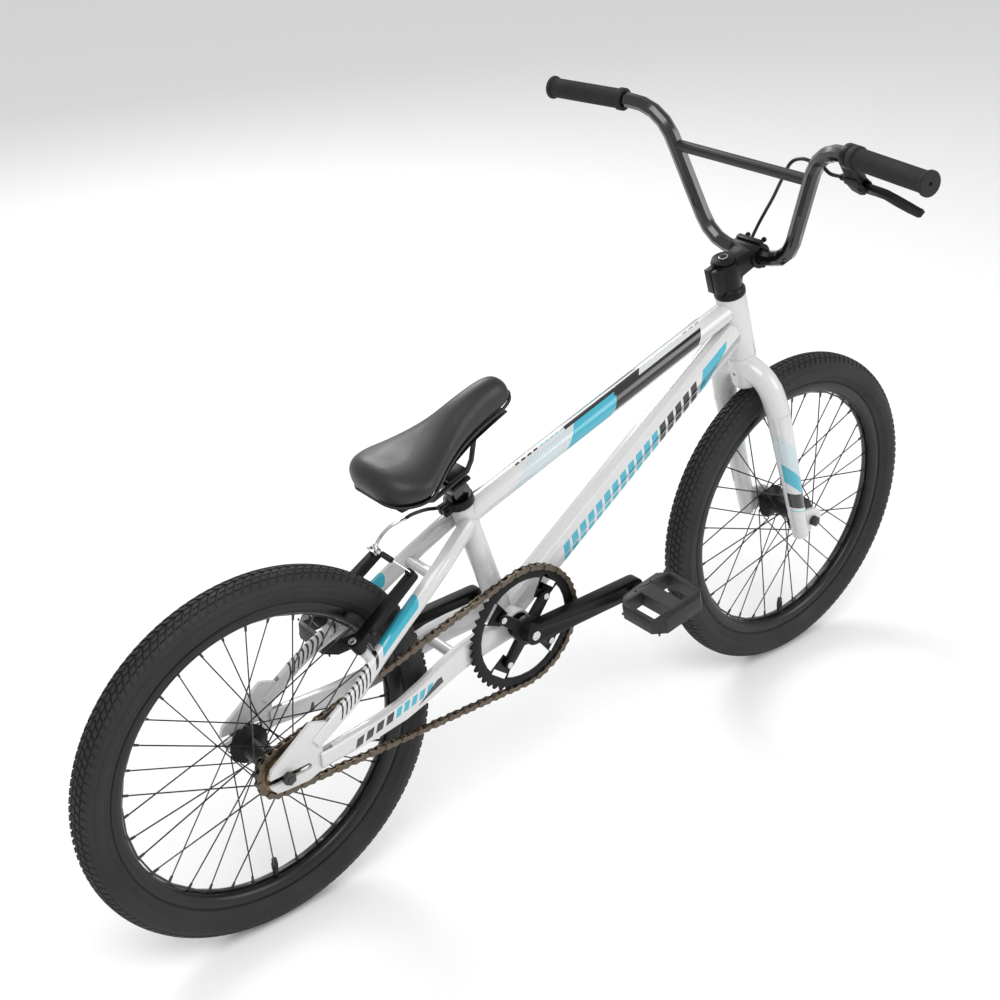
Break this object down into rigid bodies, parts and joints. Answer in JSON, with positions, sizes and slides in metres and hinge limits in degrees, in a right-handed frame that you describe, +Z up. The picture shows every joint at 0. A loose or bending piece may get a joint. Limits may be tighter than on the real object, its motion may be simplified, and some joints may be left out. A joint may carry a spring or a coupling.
{
  "type": "bmx bike",
  "caption": "Single-speed BMX bike with 20 inch wheels, rigid fork, high handlebar with crossbar, platform pedals and a rear rim brake worked by a hand lever.",
  "frame": {"origin": "on the ground midway between the two wheels' axles, on the bike's middle plane", "axes": "+X forward, +Y to the rider's left, +Z up"},
  "size_m": [1.4592, 0.683, 0.8981],
  "materials": {
    "frame_paint": "gloss white enamel",
    "black_metal": "satin black anodised or painted alloy",
    "black_paint": "gloss black paint",
    "bright_steel": "plated steel",
    "dark_steel": "black plated steel",
    "chain_steel": "brown oiled steel",
    "cable_housing": "black extruded sleeve",
    "saddle_vinyl": "smooth black vinyl",
    "black_plastic": "moulded black nylon",
    "grip_rubber": "matt black rubber",
    "tyre": "matt black tyre rubber"
  },
  "bodies": {
    "frame": {"head_tube": "frame_paint", "top_tube": "frame_paint", "down_tube": "frame_paint", "seat_tube": "frame_paint", "bottom_bracket_shell": "frame_paint", "chain_stay_left": "frame_paint", "chain_stay_right": "frame_paint", "chain_stay_bridge": "frame_paint", "seat_stay_left": "frame_paint", "seat_stay_right": "frame_paint", "seat_stay_bridge": "frame_paint", "dropout_left": "frame_paint", "dropout_right": "frame_paint", "headset_lower_bearing": "bright_steel", "headset_upper_bearing": "bright_steel", "seat_collar": "black_metal", "bb_cartridge": "black_metal", "rear_axle": "dark_steel", "chain": "chain_steel", "brake_housing": "cable_housing"},
    "seat_post": {"seat_post": "black_metal"},
    "saddle": {"saddle_clamp": "black_metal", "saddle_pad": "saddle_vinyl", "saddle_base": "black_plastic"},
    "steering": {"fork": "frame_paint", "headset_cover": "black_metal", "stem": "black_metal", "stem_faceplate": "black_metal", "stem_cap": "black_metal", "handlebar": "black_paint", "handlebar_crossbar": "black_paint", "grip_left": "grip_rubber", "grip_right": "grip_rubber", "lever_bracket": "black_metal", "barrel_adjuster": "black_metal", "front_axle": "dark_steel"},
    "front_wheel": {"front_tyre": "tyre", "front_rim": "black_paint", "front_hub": "black_metal", "front_spokes": "dark_steel"},
    "rear_wheel": {"rear_tyre": "tyre", "rear_rim": "black_paint", "rear_hub": "black_metal", "rear_spokes": "dark_steel"},
    "freewheel": {"freewheel": "chain_steel"},
    "crankset": {"crank_spindle": "bright_steel", "crank_arm_right": "black_metal", "crank_arm_left": "black_metal", "chainring": "black_metal", "pedal_axle_right": "bright_steel", "pedal_axle_left": "bright_steel"},
    "pedal_right": {"pedal_body_right": "black_plastic"},
    "pedal_left": {"pedal_body_left": "black_plastic"},
    "brake_lever": {"brake_lever": "black_metal"},
    "brake_arm_left": {"brake_arm_left": "black_metal", "brake_pad_left": "grip_rubber", "brake_noodle": "bright_steel"},
    "brake_arm_right": {"brake_arm_right": "black_metal", "brake_pad_right": "grip_rubber", "brake_wire": "bright_steel"}
  },
  "joints": [
    {"name": "steering", "type": "hinge", "parent": "frame", "child": "steering", "pos_m": [0.44824, 0, 0.24318], "axis": [-0.2756, 0, 0.9613], "range_deg": [-85, 85], "deforming": ["brake_housing"]},
    {"name": "seat_height", "type": "slide", "parent": "frame", "child": "seat_post", "axis": [-0.304, 0, 0.9527], "range_m": [0, 0.08]},
    {"name": "saddle_tilt", "type": "hinge", "parent": "seat_post", "child": "saddle", "pos_m": [-0.16218, 0, 0.51264], "axis": [0, 1, 0], "range_deg": [-8, 12]},
    {"name": "front_wheel_spin", "type": "hinge", "parent": "steering", "child": "front_wheel", "pos_m": [0.479, 0, 0.252], "axis": [0, 1, 0], "continuous": true},
    {"name": "rear_wheel_spin", "type": "hinge", "parent": "frame", "child": "rear_wheel", "pos_m": [-0.479, 0, 0.252], "axis": [0, 1, 0], "continuous": true},
    {"name": "crank_spin", "type": "hinge", "parent": "frame", "child": "crankset", "pos_m": [-0.0924, 0, 0.294], "axis": [0, 1, 0], "continuous": true},
    {"name": "freewheel_spin", "type": "hinge", "parent": "frame", "child": "freewheel", "pos_m": [-0.479, 0, 0.252], "axis": [0, 1, 0], "continuous": true},
    {"name": "pedal_right_spin", "type": "hinge", "parent": "crankset", "child": "pedal_right", "pos_m": [0.0896, 0, 0.294], "axis": [0, 1, 0], "continuous": true},
    {"name": "pedal_left_spin", "type": "hinge", "parent": "crankset", "child": "pedal_left", "pos_m": [-0.2744, 0, 0.294], "axis": [0, 1, 0], "continuous": true},
    {"name": "brake_lever_pull", "type": "hinge", "parent": "steering", "child": "brake_lever", "pos_m": [0.358, -0.1969, 0.83593], "axis": [-0.829, 0, -0.5592], "range_deg": [0, 20], "stiffness_Nm_per_rad": 1, "springref_deg": -11.46},
    {"name": "brake_arm_left_swing", "type": "hinge", "parent": "frame", "child": "brake_arm_left", "pos_m": [-0.3576, 0.043, 0.3846], "axis": [0.5451, 0, -0.8384], "range_deg": [0, 3], "deforming": ["brake_housing", "brake_wire"]},
    {"name": "brake_arm_right_swing", "type": "hinge", "parent": "frame", "child": "brake_arm_right", "pos_m": [-0.3576, -0.043, 0.3846], "axis": [-0.5451, 0, 0.8384], "range_deg": [0, 3], "deforming": ["brake_wire"]}
  ],
  "couplings": [
    {"joint": "freewheel_spin", "follows": "crank_spin", "ratio": 2.75},
    {"joint": "brake_arm_left_swing", "follows": "brake_lever_pull", "ratio": 0.145},
    {"joint": "brake_arm_right_swing", "follows": "brake_lever_pull", "ratio": 0.145}
  ]
}
